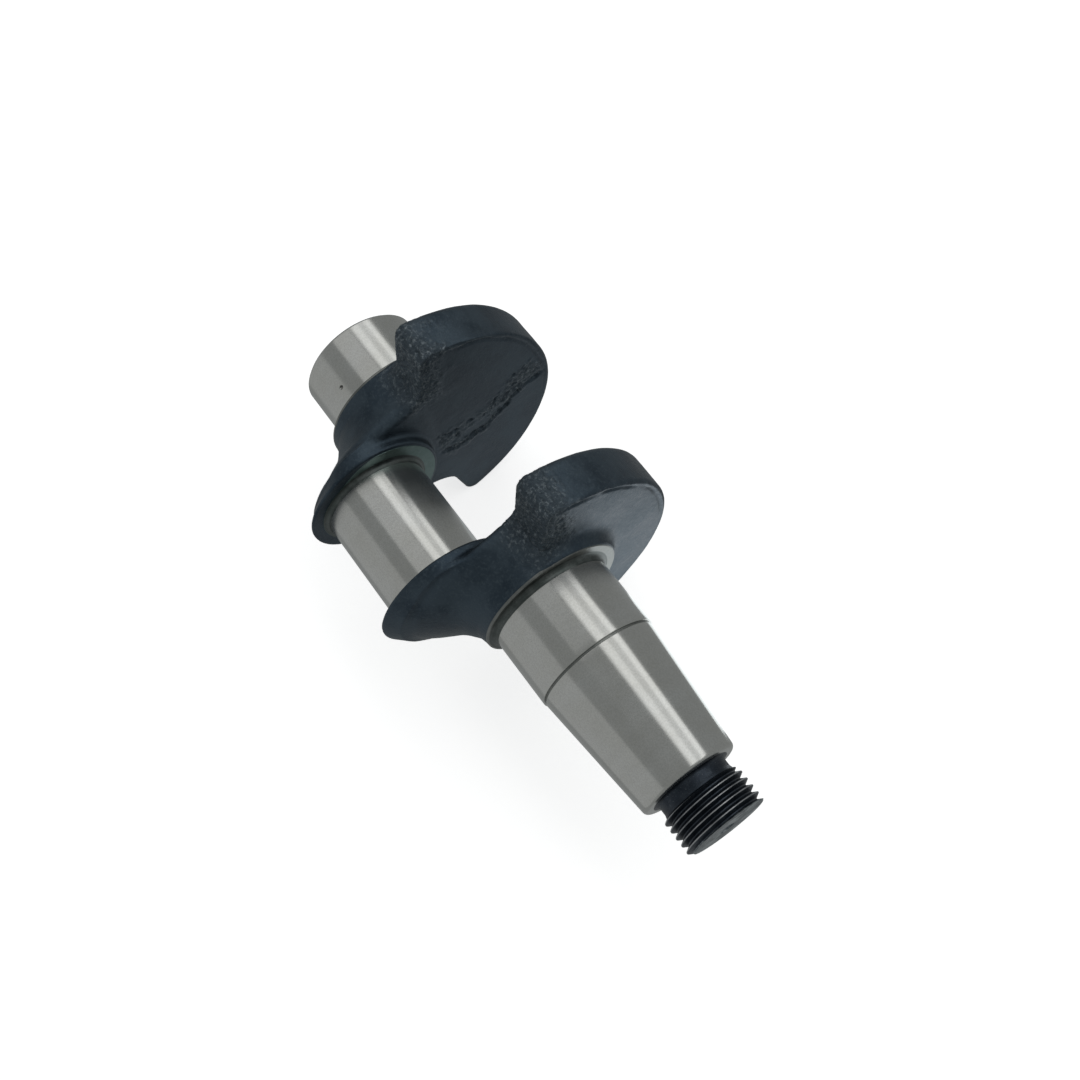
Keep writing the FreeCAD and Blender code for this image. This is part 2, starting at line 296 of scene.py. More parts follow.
def web_mesh(web, step):
    """Points on the web's surface in (u, y, z), their outward directions, and the quads between them."""
    low = np.array([PIN_BOSS_FACE - 1.0, -36.5, -37.0])
    high = np.array([COLLAR_FACE + 1.0, 37.0, 37.0])
    axes = [np.arange(low[k], high[k] + step, step) for k in range(3)]
    u, y, z = np.meshgrid(*axes, indexing="ij")
    field = web.distance(u, y, z).astype(np.float32)
    p, quads = surface_net(field, low, step)
    p = p.astype(np.float64)
    for _ in range(3):
        d, g = gradient(web, p)
        size = np.maximum((g * g).sum(1), 0.2)
        p -= np.clip(d / size, -step, step)[:, None] * g
    _, g = gradient(web, p)
    n = g / np.linalg.norm(g, axis=1)[:, None]
    return p, n, quads


def forge(web, p, n):
    """Moves the surface like a hammered, trimmed and blasted forging's skin, and says where it is rough."""
    u, y, z = p[:, 0], p[:, 1], p[:, 2]
    q = p + np.array([211.0 * web.seed, 0.0, 0.0])
    broad = Noise(web.seed)
    fine = Noise(web.seed + 1)
    swell = broad.fractal(q, 11.0, 3)
    grain = fine.fractal(q, 1.5, 3, 0.65)
    move = 0.10 * swell + 0.025 * grain
    # chiselled, pitted skin at the counterweight's upper corner
    height = y + END_OFFSET - END_SLOPE * np.abs(z)
    patch = broad.fractal(q + 50.0, 5.0, 2)
    corner = smoothstep(10.0, 3.0, height + 4.0 * patch) * smoothstep(15.0, 22.0, z) * (y < 20)
    corner = corner * smoothstep(-6.5, -3.0, height + 2.0 * patch)
    ridges = 1 - 2 * np.abs(fine.fractal(q + 90.0, 1.7, 3, 0.75))
    move += corner * (0.42 * (ridges - 0.6))
    # lip and crease where the flash was trimmed, just inside the rim on one face
    inset = -web.outline(y, z)
    face = -n[:, 0] if web.side < 0 else n[:, 0]
    near_end = 1 - 0.65 * smoothstep(10.0, 30.0, y)
    on_face = smoothstep(-0.1, 0.5, face) * smoothstep(4.0, 9.0, y) * smoothstep(-14.0, 2.0, z)
    wander = 0.3 * broad(q, 7.0) + 0.12 * fine(q, 1.6)
    crease = np.exp(-((inset - 1.5 - wander) / 0.42) ** 2)
    lip = np.exp(-((inset - 0.7 - wander) / 0.4) ** 2)
    strength = near_end * np.clip(0.8 + 0.9 * fine.fractal(q + 30.0, 6.0, 2), 0.2, 1.2)
    move += on_face * strength * (0.2 * lip - 0.8 * crease)
    rough = np.clip(corner + 0.5 * on_face * near_end * (crease + lip), 0, 1)
    if web.side < 0:
        cut, torn = scar(y, z, q, n, broad, fine)
        move += cut
        rough = np.maximum(rough, torn)
    # machined rings stay flat under the skin's edge
    pin_side = smoothstep(0.3, 0.9, PIN_BOSS_FACE + 0.9 - u) * smoothstep(0.6, 0.9, -n[:, 0])
    hub_side = smoothstep(0.3, 0.9, u - COLLAR_FACE + 1.4)
    calm = 1 - np.clip(pin_side + hub_side, 0, 1)
    return p + n * (move * calm)[:, None], rough * calm


def scar(y, z, q, n, broad, fine):
    """Torn band across one counterweight's face: how far it moves the surface, and where it is rough."""
    seam = -9.0 + 7.0 * smoothstep(12.0, 32.0, y) + 2.0 * smoothstep(8.0, 2.0, y)
    where = z - seam - 0.9 * broad(q + 7.0, 3.2) - 0.4 * fine(q, 1.1)
    on_face = smoothstep(0.6, 0.9, -n[:, 0]) * smoothstep(1.5, 4.5, y) * smoothstep(35.0, 31.0, y)
    gate = smoothstep(-0.25, 0.35, fine.fractal(q + 11.0, 4.0, 2))
    crack = np.exp(-(where / 0.5) ** 2) * (0.35 + 0.65 * gate)
    upper = where - 7.0 - 2.5 * broad(q + 31.0, 6.0)
    second = np.exp(-(upper / 0.5) ** 2) * smoothstep(0.0, 0.4, fine.fractal(q + 71.0, 2.6, 2))
    ragged = where + 2.2 * fine.fractal(q + 19.0, 2.4, 3)
    band = smoothstep(-2.5, 0.5, ragged) * smoothstep(10.0, 5.0, ragged)
    band = band * smoothstep(-0.5, 0.3, broad.fractal(q + 61.0, 4.5, 3))
    torn = 1 - 2 * np.abs(fine.fractal(q * np.array([1.0, 0.6, 1.0]) + 43.0, 2.1, 4, 0.7))
    step = 0.28 * smoothstep(-1.2, 0.3, where)
    cut = on_face * (-0.75 * crack - 0.6 * second + 0.5 * band * (torn - 0.5) - step)
    return cut, on_face * np.clip(1.1 * band + 0.3 * crack, 0, 1)


def make_mesh(name, verts, faces):
    """Smooth-shaded object from arrays of drawing-unit points and quads."""
    mesh = bpy.data.meshes.new(name)
    verts = np.asarray(verts, np.float32) * UNIT
    faces = np.asarray(faces, np.int32)
    mesh.vertices.add(len(verts))
    mesh.vertices.foreach_set("co", verts.ravel())
    corners = faces.shape[1]
    mesh.loops.add(faces.size)
    mesh.loops.foreach_set("vertex_index", faces.ravel())
    mesh.polygons.add(len(faces))
    mesh.polygons.foreach_set("loop_start", np.arange(0, faces.size, corners, dtype=np.int32))
    mesh.polygons.foreach_set("use_smooth", np.full(len(faces), True))
    mesh.update(calc_edges=True)
    mesh.validate()
    obj = bpy.data.objects.new(name, mesh)
    bpy.context.scene.collection.objects.link(obj)
    return obj


def build_web(name, web, step):
    """One forged web in the frame, with the attribute that tells its material where the skin is rough."""
    p, n, quads = web_mesh(web, step)
    p, rough = forge(web, p, n)
    row = p.copy()
    row[:, 0] = PIN_X + web.side * p[:, 0]
    if web.side < 0:
        quads = quads[:, ::-1]
    obj = make_mesh(name, row, quads)
    zone = obj.data.attributes.new("rough", "FLOAT", "POINT")
    zone.data.foreach_set("value", rough.astype(np.float32))
    return obj


# ---------------------------------------------------------------- turned parts
ARC_STEPS = 6                   # straight pieces in each fillet of a profile
SHARP_ANGLE = math.radians(32)  # edges sharper than this are not smoothed over


def profile(*corners):
    """Turned profile through corners (x, r) or (x, r, fillet), from the axis out and back to the axis."""
    points = []
    last = len(corners) - 1
    for i, corner in enumerate(corners):
        here = np.array(corner[:2], float)
        if len(corner) < 3 or i in (0, last):
            points.append(here)
            continue
        before = np.array(corners[i - 1][:2], float) - here
        after = np.array(corners[i + 1][:2], float) - here
        before /= np.linalg.norm(before)
        after /= np.linalg.norm(after)
        half = math.acos(float(np.clip(before @ after, -1, 1))) / 2
        reach = corner[2] / math.tan(half)
        bisector = (before + after) / np.linalg.norm(before + after)
        centre = here + bisector * corner[2] / math.sin(half)
        a = here + before * reach - centre
        b = here + after * reach - centre
        turn = math.atan2(a[0] * b[1] - a[1] * b[0], a @ b)
        for k in range(ARC_STEPS + 1):
            t = turn * k / ARC_STEPS
            spin = np.array([[math.cos(t), -math.sin(t)], [math.sin(t), math.cos(t)]])
            points.append(centre + spin @ a)
    return np.array(points)


def web_side(points, side):
    """A profile given by distance from the crankpin's middle, placed on the chosen web."""
    placed = np.array(points)
    placed[:, 0] = PIN_X + side * placed[:, 0]
    return placed if side > 0 else placed[::-1]


def refine(points, most, inner=0.01):
    """Splits a profile's long straight runs, except those that come nearer to the axis than inner."""
    out = [points[0]]
    for a, b in zip(points, points[1:]):
        pieces = 1
        if min(a[1], b[1]) >= inner:
            pieces = max(1, int(math.ceil(np.linalg.norm(b - a) / most)))
        out += [a + (b - a) * k / pieces for k in range(1, pieces + 1)]
    return np.array(out)


def lathe(name, points, axis_y=0.0, segments=288, shape=None):
    """Closed turned solid, from the axis out and back. shape may move the surface: r = shape(x, r, angle)."""
    ring = points[1:-1]
    theta = np.arange(segments) * 2 * math.pi / segments
    x = np.repeat(ring[:, 0][:, None], segments, 1)
    r = np.repeat(ring[:, 1][:, None], segments, 1)
    angle = np.repeat(theta[None, :], len(ring), 0)
    if shape is not None:
        r = shape(x, r, angle)
    verts = np.stack([x, -r * np.cos(angle), r * np.sin(angle)], -1).reshape(-1, 3)
    rows = len(ring)
    i = np.arange(rows - 1)[:, None] * segments
    j = np.arange(segments)[None, :]
    k = (j + 1) % segments
    quads = np.stack([i + j, i + segments + j, i + segments + k, i + k], -1).reshape(-1, 4)
    first = len(verts)
    verts = np.vstack([verts, [points[0][0], 0, 0], [points[-1][0], 0, 0]])
    base = (rows - 1) * segments
    around = list(zip(range(segments), [*range(1, segments), 0]))
    caps = [(first, a, b) for a, b in around] + [(first + 1, base + b, base + a) for a, b in around]
    mesh = bpy.data.meshes.new(name)
    mesh.from_pydata((verts * UNIT).tolist(), [], quads.tolist() + caps)
    mesh.polygons.foreach_set("use_smooth", np.full(len(mesh.polygons), True))
    mesh.update()
    mesh.set_sharp_from_angle(angle=SHARP_ANGLE)
    obj = bpy.data.objects.new(name, mesh)
    obj.location = (0, axis_y * UNIT, 0)
    bpy.context.scene.collection.objects.link(obj)
    return obj


def pin_ring_limit(web):
    """Ends the ground ring round the crankpin where the web's own skin falls away from it."""
    inner = PIN_R + PIN_FILLET
    angles = np.linspace(0, 2 * math.pi, 721)
    radii = np.linspace(inner + 0.05, PIN_RING_R, 60)
    a, r = np.meshgrid(angles, radii, indexing="ij")
    u = np.full(a.shape, PIN_BOSS_FACE + 0.32)
    depth = web.distance(u, -THROW - r * np.cos(a), r * np.sin(a))
    held = np.cumprod(depth < 0, axis=1).sum(1)
    limit = radii[np.clip(held - 1, 0, len(radii) - 1)]
    bare = smoothstep(0.5, -0.35, np.cos(angles))
    limit = radii[0] + (limit - radii[0]) * bare

    def shape(x, r, angle):
        edge = np.interp(angle % (2 * math.pi), angles, limit)
        share = np.clip((r - inner) / (PIN_RING_R - inner), 0, 1)
        return np.where(r > inner, inner + share * (edge - inner), r)
    return shape


def eccentric(shift, outer):
    """Moves a collar's rim off the axis by shift towards +Y, and leaves its root fillet where it is."""
    def shape(x, r, angle):
        share = np.clip((r - MAIN_R - ROOT_FILLET) / (outer - MAIN_R - ROOT_FILLET), 0, 1)
        return r - share * shift * np.cos(angle)
    return shape


def pitted(x, r, angle):
    """A small pit in the free end's journal."""
    across = (angle - PIT_ANGLE) * MAIN_R
    near = ((x - PIT_X) / 0.36) ** 2 + (across / 0.46) ** 2
    return r - 0.5 * np.exp(-near ** 2)


def thread_radius(x, angle):
    """Radius of a right-hand thread at station x and angle round the axis."""
    phase = (x - THREAD_CREST) / THREAD_PITCH + (angle - math.pi / 2) / (2 * math.pi)
    from_crest = np.abs(phase - np.round(phase)) * THREAD_PITCH
    groove = THREAD_R - np.maximum(from_crest - THREAD_CREST_HALF, 0) / math.tan(math.radians(30))
    return np.maximum(groove, THREAD_ROOT_R)


def cut_thread(x, r, angle):
    return np.where(r > THREAD_ROOT_R, np.minimum(r, thread_radius(x, angle)), r)


# ---------------------------------------------------------------- materials
def material(name, base, rough, metal, **settings):
    """Principled material; settings are further sockets by name, with _ for a space."""
    mat = bpy.data.materials.new(name)
    mat.use_nodes = True
    bsdf = mat.node_tree.nodes["Principled BSDF"]
    bsdf.inputs["Base Color"].default_value = (*base, 1)
    bsdf.inputs["Roughness"].default_value = rough
    bsdf.inputs["Metallic"].default_value = metal
    for key, value in settings.items():
        bsdf.inputs[key.replace("_", " ")].default_value = value
    return mat


class Nodes:
    """Short way of adding nodes to a material."""

    def __init__(self, mat):
        self.tree = mat.node_tree
        self.bsdf = self.tree.nodes["Principled BSDF"]
        self.place = self.add("ShaderNodeTexCoord").outputs["Object"]

    def add(self, kind, **settings):
        node = self.tree.nodes.new(kind)
        for key, value in settings.items():
            setattr(node, key, value)
        return node

    def link(self, source, target):
        self.tree.links.new(source, target)

    def put(self, target, value):
        if hasattr(value, "is_output"):
            self.link(value, target)
        else:
            target.default_value = value

    def maths(self, operation, a, b=0.0):
        node = self.add("ShaderNodeMath", operation=operation)
        for socket, value in zip(node.inputs, (a, b)):
            self.put(socket, value)
        return node.outputs[0]

    def stretch(self, x, y, z):
        """Object coordinates scaled by x, y and z, so that a noise is drawn out where the scale is small."""
        node = self.add("ShaderNodeMapping")
        self.link(self.place, node.inputs["Vector"])
        node.inputs["Scale"].default_value = (x, y, z)
        return node.outputs[0]

    def noise(self, size, detail, rough, vector=None):
        """Noise whose largest features are about size drawing units."""
        node = self.add("ShaderNodeTexNoise")
        self.link(vector or self.place, node.inputs["Vector"])
        node.inputs["Scale"].default_value = 1.0 / (size * UNIT)
        node.inputs["Detail"].default_value = detail
        node.inputs["Roughness"].default_value = rough
        return node.outputs[0]

    def spread(self, value, low, high, to_low=0.0, to_high=1.0, smooth=True):
        """Value taken from the range low to high into the range to_low to to_high."""
        node = self.add("ShaderNodeMapRange", interpolation_type="SMOOTHSTEP" if smooth else "LINEAR")
        self.put(node.inputs["Value"], value)
        ends = {"From Min": low, "From Max": high, "To Min": to_low, "To Max": to_high}
        for key, number in ends.items():
            node.inputs[key].default_value = number
        return node.outputs[0]

    def mix(self, factor, a, b):
        node = self.add("ShaderNodeMix", data_type="RGBA")
        self.put(node.inputs[0], factor)
        for socket, value in ((node.inputs[6], a), (node.inputs[7], b)):
            self.put(socket, (*value, 1) if isinstance(value, tuple) else value)
        return node.outputs[2]

    def bump(self, height, distance, normal=None):
        """Bump whose full height is distance drawing units."""
        node = self.add("ShaderNodeBump")
        node.inputs["Distance"].default_value = distance * UNIT
        node.inputs["Strength"].default_value = 1.0
        self.link(height, node.inputs["Height"])
        if normal is not None:
            self.link(normal, node.inputs["Normal"])
        return node.outputs[0]

    def split(self):
        node = self.add("ShaderNodeSeparateXYZ")
        self.link(self.place, node.inputs[0])
        return node.outputs

    def radius(self):
        """Distance from the turned part's axis, in drawing units."""
        _, y, z = self.split()
        squares = self.maths("ADD", self.maths("POWER", y, 2.0), self.maths("POWER", z, 2.0))
        return self.maths("MULTIPLY", self.maths("SQRT", squares), 1 / UNIT)

    def station(self):
        """Place along the shaft, in drawing units."""
        return self.maths("MULTIPLY", self.split()[0], 1 / UNIT)


def ground_steel():
    """Cylindrically ground steel: very fine rings round the axis, faint stains, one small pit."""
    mat = material("ground_steel", (0.56, 0.56, 0.54), 0.21, 1.0, Anisotropic=0.85, Anisotropic_Rotation=0.25)
    n = Nodes(mat)
    tangent = n.add("ShaderNodeTangent", direction_type="RADIAL", axis="X")
    n.link(tangent.outputs[0], n.bsdf.inputs["Tangent"])
    rings = n.noise(0.22, 3.0, 0.7, n.stretch(1.0, 0.01, 0.01))
    bands = n.noise(2.6, 2.0, 0.5, n.stretch(1.0, 0.03, 0.03))
    stain = n.noise(8.0, 4.0, 0.55)
    blotch = n.noise(2.0, 4.0, 0.6)
    spots = n.spread(n.noise(0.5, 2.0, 0.5), 0.72, 0.79)
    tone = n.mix(n.spread(stain, 0.3, 0.7), (0.575, 0.575, 0.545), (0.62, 0.625, 0.605))
    tone = n.mix(n.spread(rings, 0.3, 0.7, 0.0, 0.09), tone, (0.68, 0.68, 0.67))
    tone = n.mix(n.spread(bands, 0.35, 0.65, 0.0, 0.10), tone, (0.46, 0.455, 0.44))
    tone = n.mix(n.spread(blotch, 0.55, 0.75, 0.0, 0.12), tone, (0.42, 0.40, 0.36))
    tone = n.mix(n.maths("MULTIPLY", spots, 0.3), tone, (0.28, 0.27, 0.26))
    grain = n.noise(0.42, 3.0, 0.7)
    tone = n.mix(n.spread(grain, 0.40, 0.62, 0.0, 0.22), tone, (0.36, 0.36, 0.34))
    pit = n.add("ShaderNodeVectorMath", operation="DISTANCE")
    n.link(n.place, pit.inputs[0])
    middle = (PIT_X, -MAIN_R * math.cos(PIT_ANGLE), MAIN_R * math.sin(PIT_ANGLE))
    pit.inputs[1].default_value = [UNIT * c for c in middle]
    rust = n.spread(n.maths("MULTIPLY", pit.outputs["Value"], 1 / UNIT), 0.62, 0.34)
    tone = n.mix(rust, tone, (0.05, 0.045, 0.04))
    n.link(tone, n.bsdf.inputs["Base Color"])
    rough = n.maths("ADD", n.spread(rings, 0.2, 0.8, 0.195, 0.225), n.spread(stain, 0.3, 0.8, -0.01, 0.03))
    n.link(n.maths("ADD", rough, n.maths("MULTIPLY", rust, 0.3)), n.bsdf.inputs["Roughness"])
    n.link(n.bump(rings, 0.0008), n.bsdf.inputs["Normal"])
    return mat


def machined_steel(name, dark, light, smoothest, roughest):
    """Faced and turned steel: rings about the axis, a little dull."""
    mat = material(name, light, roughest, 1.0)
    n = Nodes(mat)
    stain = n.noise(3.0, 5.0, 0.6)
    mottle = n.noise(0.5, 3.0, 0.6)
    feed = n.maths("ADD", n.radius(), n.station())
    wobble = n.spread(n.noise(2.5, 3.0, 0.6), 0.3, 0.7, 0.0, 0.25, False)
    rings = n.maths("SINE", n.maths("MULTIPLY", n.maths("ADD", feed, wobble), 2 * math.pi / 0.30))
    tone = n.mix(n.spread(stain, 0.3, 0.7), dark, light)
    tone = n.mix(n.spread(mottle, 0.45, 0.8, 0.0, 0.35), tone, tuple(0.55 * c for c in dark))
    tone = n.mix(n.spread(rings, 0.2, 1.0, 0.0, 0.3), tone, tuple(0.7 * c for c in dark))
    n.link(tone, n.bsdf.inputs["Base Color"])
    n.link(n.spread(stain, 0.2, 0.8, smoothest, roughest), n.bsdf.inputs["Roughness"])
    n.link(n.bump(n.spread(rings, -1, 1, 0, 1, False), 0.005), n.bsdf.inputs["Normal"])
    return mat


def forging_skin():
    """Blackened forging: thin blue-black oxide with fine grain, pits, and pale flecks where it is torn,
    partly worn skin and partly painted highlight.
    """
    mat = material("forging_skin", (0.045, 0.06, 0.08), 0.42, 0.85)
    n = Nodes(mat)
    zone = n.add("ShaderNodeAttribute", attribute_name="rough").outputs["Fac"]
    cloud = n.noise(10.0, 5.0, 0.6)
    grain = n.noise(0.75, 5.0, 0.72)
    pits = n.noise(0.40, 3.0, 0.6)
    flakes = n.noise(0.95, 5.0, 0.75)
    tone = n.mix(n.spread(cloud, 0.35, 0.65), (0.033, 0.050, 0.068), (0.064, 0.089, 0.112))
    tone = n.mix(n.spread(grain, 0.46, 0.74, 0.0, 0.5), tone, (0.11, 0.145, 0.17))
    tone = n.mix(n.spread(pits, 0.66, 0.74, 0.0, 0.5), tone, (0.02, 0.024, 0.03))
    # painted highlight: the rough zones are tinted lighter
    tone = n.mix(n.maths("MULTIPLY", zone, 0.3), tone, (0.14, 0.17, 0.19))
    # pale flecks in the rough zones: partly worn-through skin, partly painted highlight that lifts the shade
    # in the torn band
    pale_patches = n.maths("MULTIPLY", n.spread(flakes, 0.50, 0.64), zone)
    tone = n.mix(n.maths("MULTIPLY", pale_patches, 0.8), tone, (0.28, 0.32, 0.345))
    n.link(tone, n.bsdf.inputs["Base Color"])
    rough = n.maths("ADD", n.spread(cloud, 0.3, 0.7, 0.36, 0.47), n.spread(grain, 0.3, 0.7, -0.05, 0.07))
    n.link(n.maths("SUBTRACT", rough, n.maths("MULTIPLY", pale_patches, 0.1)), n.bsdf.inputs["Roughness"])
    soft = n.bump(grain, 0.08)
    pocked = n.bump(pits, 0.035, normal=soft)
    torn = n.maths("MULTIPLY", flakes, zone)
    n.link(n.bump(torn, 0.45, normal=pocked), n.bsdf.inputs["Normal"])
    return mat


def blackened_thread():
    """Blackened steel, rubbed along the thread's crests and grey with wear on the shaft's end."""
    mat = material("blackened_thread", (0.03, 0.033, 0.04), 0.35, 0.85)
    n = Nodes(mat)
    grain = n.noise(0.5, 5.0, 0.7)
    cloud = n.noise(3.0, 4.0, 0.6)
    specks = n.noise(0.26, 3.0, 0.65)
    jitter = n.spread(grain, 0.3, 0.7, -0.05, 0.05, False)
    crest = n.spread(n.maths("ADD", n.radius(), jitter), THREAD_R - 0.10, THREAD_R - 0.02)
    end = n.spread(n.maths("ADD", n.station(), jitter), DRIVE_END_X - 0.36, DRIVE_END_X - 0.24)
    bright = n.maths("MULTIPLY", crest, n.spread(cloud, 0.35, 0.6, 0.45, 1.0))
    tone = n.mix(n.spread(cloud, 0.3, 0.7), (0.024, 0.032, 0.044), (0.05, 0.062, 0.078))
    tone = n.mix(n.spread(grain, 0.55, 0.8, 0.0, 0.6), tone, (0.13, 0.15, 0.17))
    tone = n.mix(n.spread(specks, 0.64, 0.72, 0.0, 0.7), tone, (0.30, 0.32, 0.34))
    tone = n.mix(bright, tone, (0.42, 0.43, 0.44))
    patches = n.maths("ADD", n.maths("MULTIPLY", cloud, 0.6), n.maths("MULTIPLY", grain, 0.4))
    pale_patches = n.mix(n.spread(patches, 0.42, 0.60), (0.07, 0.09, 0.105), (0.40, 0.44, 0.455))
    tone = n.mix(end, tone, pale_patches)
    n.link(tone, n.bsdf.inputs["Base Color"])
    n.link(n.spread(grain, 0.2, 0.8, 0.28, 0.46), n.bsdf.inputs["Roughness"])
    lumps = n.bump(grain, 0.04)
    n.link(n.bump(specks, 0.02, normal=lumps), n.bsdf.inputs["Normal"])
    return mat


def bright_key():
    """Drawn key steel: lengthwise lines and a light tarnish."""
    mat = material("key_steel", (0.5, 0.48, 0.45), 0.3, 1.0)
    n = Nodes(mat)
    lines = n.noise(0.2, 3.0, 0.7, n.stretch(0.05, 1.0, 1.0))
    cloud = n.noise(2.5, 4.0, 0.6)
    tone = n.mix(n.spread(cloud, 0.3, 0.7), (0.40, 0.385, 0.35), (0.54, 0.525, 0.49))
    n.link(tone, n.bsdf.inputs["Base Color"])
    n.link(n.spread(lines, 0.3, 0.7, 0.24, 0.4), n.bsdf.inputs["Roughness"])
    n.link(n.bump(lines, 0.006), n.bsdf.inputs["Normal"])
    return mat


steel = ground_steel()
machined = machined_steel("machined_steel", (0.18, 0.192, 0.185), (0.26, 0.268, 0.255), 0.28, 0.42)
# darker, greenish copy of the machined steel: painted shade and painted green reflection on the faces between
# the webs
pin_face = machined_steel("pin_face_painted_shade", (0.12, 0.18, 0.17), (0.19, 0.26, 0.25), 0.3, 0.45)
# darker copy of the machined steel: painted shade in the root fillets
fillet = machined_steel("root_fillet_painted_shade", (0.08, 0.095, 0.09), (0.15, 0.165, 0.16), 0.35, 0.5)
skin = forging_skin()
black = blackened_thread()


def finish(obj, mat, slot, *nodes):
    """Gives a piece its material and body, and hides the CAD nodes that it stands for. The slot argument is
    not used.
    """
    obj.data.materials.clear()
    obj.data.materials.append(mat)
    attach(obj, "root")
    if nodes:
        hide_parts(*nodes)
    return obj


def dark_root(obj, mat, side, low, high):
    """Gives a turned piece's fillet, between two distances from the crankpin's middle, its own darker
    material, which paints shade into the root.
    """
    obj.data.materials.append(mat)
    centres = np.zeros(3 * len(obj.data.polygons), np.float32)
    obj.data.polygons.foreach_get("center", centres)
    u = side * (centres[::3] / UNIT - PIN_X)
    obj.data.polygons.foreach_set("material_index", ((u > low) & (u < high)).astype(np.int32))
    obj.data.update()


def keyed(obj):
    """Cuts the Woodruff cutter's pocket into the taper, a hair wider than the key."""
    clear = 0.06
    radius = KEY_DISC_R + clear
    half = KEY_WIDTH / 2 + clear
    centre_z = -(TAPER_R - KEY_STATION / TAPER_RATIO / 2 - KEY_DEPTH + KEY_DISC_R)
    turns = np.radians(np.arange(0, 360, 2))
    x = (TAPER_X + KEY_STATION + radius * np.cos(turns)) * UNIT
    z = (centre_z + radius * np.sin(turns)) * UNIT
    verts = [(a, s * half * UNIT, b) for s in (-1, 1) for a, b in zip(x, z)]
    count = len(turns)
    sides = [(i, (i + 1) % count, count + (i + 1) % count, count + i) for i in range(count)]
    ends = [tuple(range(count))[::-1], tuple(range(count, 2 * count))]
    mesh = bpy.data.meshes.new("cutter")
    mesh.from_pydata(verts, [], [s[::-1] for s in sides] + [e[::-1] for e in ends])
    cutter = bpy.data.objects.new("cutter", mesh)
    bpy.context.scene.collection.objects.link(cutter)
    cut = obj.modifiers.new("keyway", "BOOLEAN")
    cut.operation = "DIFFERENCE"
    cut.solver = "EXACT"
    cut.object = cutter
    bpy.context.view_layer.update()
    result = bpy.data.meshes.new_from_object(obj.evaluated_get(bpy.context.evaluated_depsgraph_get()))
    obj.modifiers.clear()
    obj.data = result
    bpy.data.objects.remove(cutter)
    result.set_sharp_from_angle(angle=SHARP_ANGLE)
    return obj


# ---------------------------------------------------------------- build
WEB_GRID = 0.27
THREAD_GRID = 0.03
PITTED_GRID = 0.16
TURNED_GRID = 1.5
WEBS = {
    "free_end": Web(-1, 3, hub_r=18.1, hub_y=0.3, inner_edge=1.0, outer_edge=2.2),
    "drive_end": Web(1, 7, hub_r=17.8, hub_y=0.9, inner_edge=2.2, outer_edge=1.0),
}
for name, web in WEBS.items():
    piece = build_web(name + "_web", web, WEB_GRID)
    finish(piece, skin, "forged_skin", name + "_cheek", name + "_counterweight")
    rim = web.hub_r + 0.03
    ring = profile(
        (WEB_OUTER, 0),
        (WEB_OUTER, web.hub_r - 1.2),
        (COLLAR_FACE - 0.75, rim - 0.2),
        (COLLAR_FACE - 0.6, rim),
        (COLLAR_FACE - 0.25, rim, 0.08),
        (COLLAR_FACE, rim - 0.2, 0.08),
        (COLLAR_FACE, MAIN_R, ROOT_FILLET),
        (COLLAR_FACE + ROOT_FILLET, MAIN_R),
        (COLLAR_FACE + ROOT_FILLET, 0))
    shift = eccentric(web.hub_y, web.hub_r)
    piece = lathe(name + "_bearing_collar", web_side(ring, web.side), shape=shift)
    finish(piece, machined, "forged_skin", name + "_collar")
    dark_root(piece, fillet, web.side, COLLAR_FACE + 0.01, COLLAR_FACE + 2 * ROOT_FILLET)
    ring = profile(
        (PIN_BOSS_FACE - PIN_FILLET, 0),
        (PIN_BOSS_FACE - PIN_FILLET, PIN_R),
        (PIN_BOSS_FACE, PIN_R, PIN_FILLET),
        (PIN_BOSS_FACE, PIN_RING_R - 0.1, 0.08),
        (PIN_BOSS_FACE + 0.3, PIN_RING_R),
        (PIN_BOSS_FACE + 0.9, PIN_RING_R),
        (PIN_BOSS_FACE + 0.9, 0))
    piece = lathe(name + "_pin_face", web_side(ring, web.side), -THROW, shape=pin_ring_limit(web))
    finish(piece, pin_face, "machined_steel", name + "_pin_boss")
    dark_root(piece, fillet, web.side, PIN_BOSS_FACE - 2 * PIN_FILLET, PIN_BOSS_FACE - 0.01)

free_journal = refine(profile(
    (FREE_END_X + CENTRE_DEPTH, 0),
    (FREE_END_X + CENTRE_DEPTH - 0.4, CENTRE_PILOT_R),
    (FREE_END_X + CENTRE_CONE, CENTRE_PILOT_R),
    (FREE_END_X, CENTRE_R, 0.1),
    (FREE_END_X, MAIN_R - 0.8, 0.25),
    (FREE_END_X + 0.8, MAIN_R, 0.25),
    (FREE_COLLAR_X - ROOT_FILLET, MAIN_R),
    (FREE_COLLAR_X - ROOT_FILLET, 0)), PITTED_GRID, MAIN_R - 0.1)
piece = lathe("free_end_bearing_journal", free_journal, segments=576, shape=pitted)
finish(piece, steel, "ground_steel", "free_end_journal")

pin_half = PIN_BOSS_FACE - PIN_FILLET
pin = refine(profile(
    (PIN_X - pin_half, 0),
    (PIN_X - pin_half, PIN_R),
    (PIN_X + pin_half, PIN_R),
    (PIN_X + pin_half, 0)), TURNED_GRID)
finish(lathe("ground_crankpin", pin, -THROW), steel, "ground_steel", "crankpin")

drive_journal = refine(profile(
    (DRIVE_COLLAR_X + ROOT_FILLET, 0),
    (DRIVE_COLLAR_X + ROOT_FILLET, MAIN_R),
    (JOURNAL_END_X, MAIN_R, 0.2),
    (JOURNAL_END_X, RELIEF_R - 0.05),
    (JOURNAL_END_X, 0)), TURNED_GRID)
finish(lathe("drive_end_bearing_journal", drive_journal), steel, "ground_steel", "drive_end_journal")

relief = profile(
    (JOURNAL_END_X - 0.3, 0),
    (JOURNAL_END_X - 0.3, RELIEF_R),
    (TAPER_X + 0.3, RELIEF_R),
    (TAPER_X + 0.3, 0))
finish(lathe("journal_end_groove", relief), machined, "machined_steel", "grinding_relief")

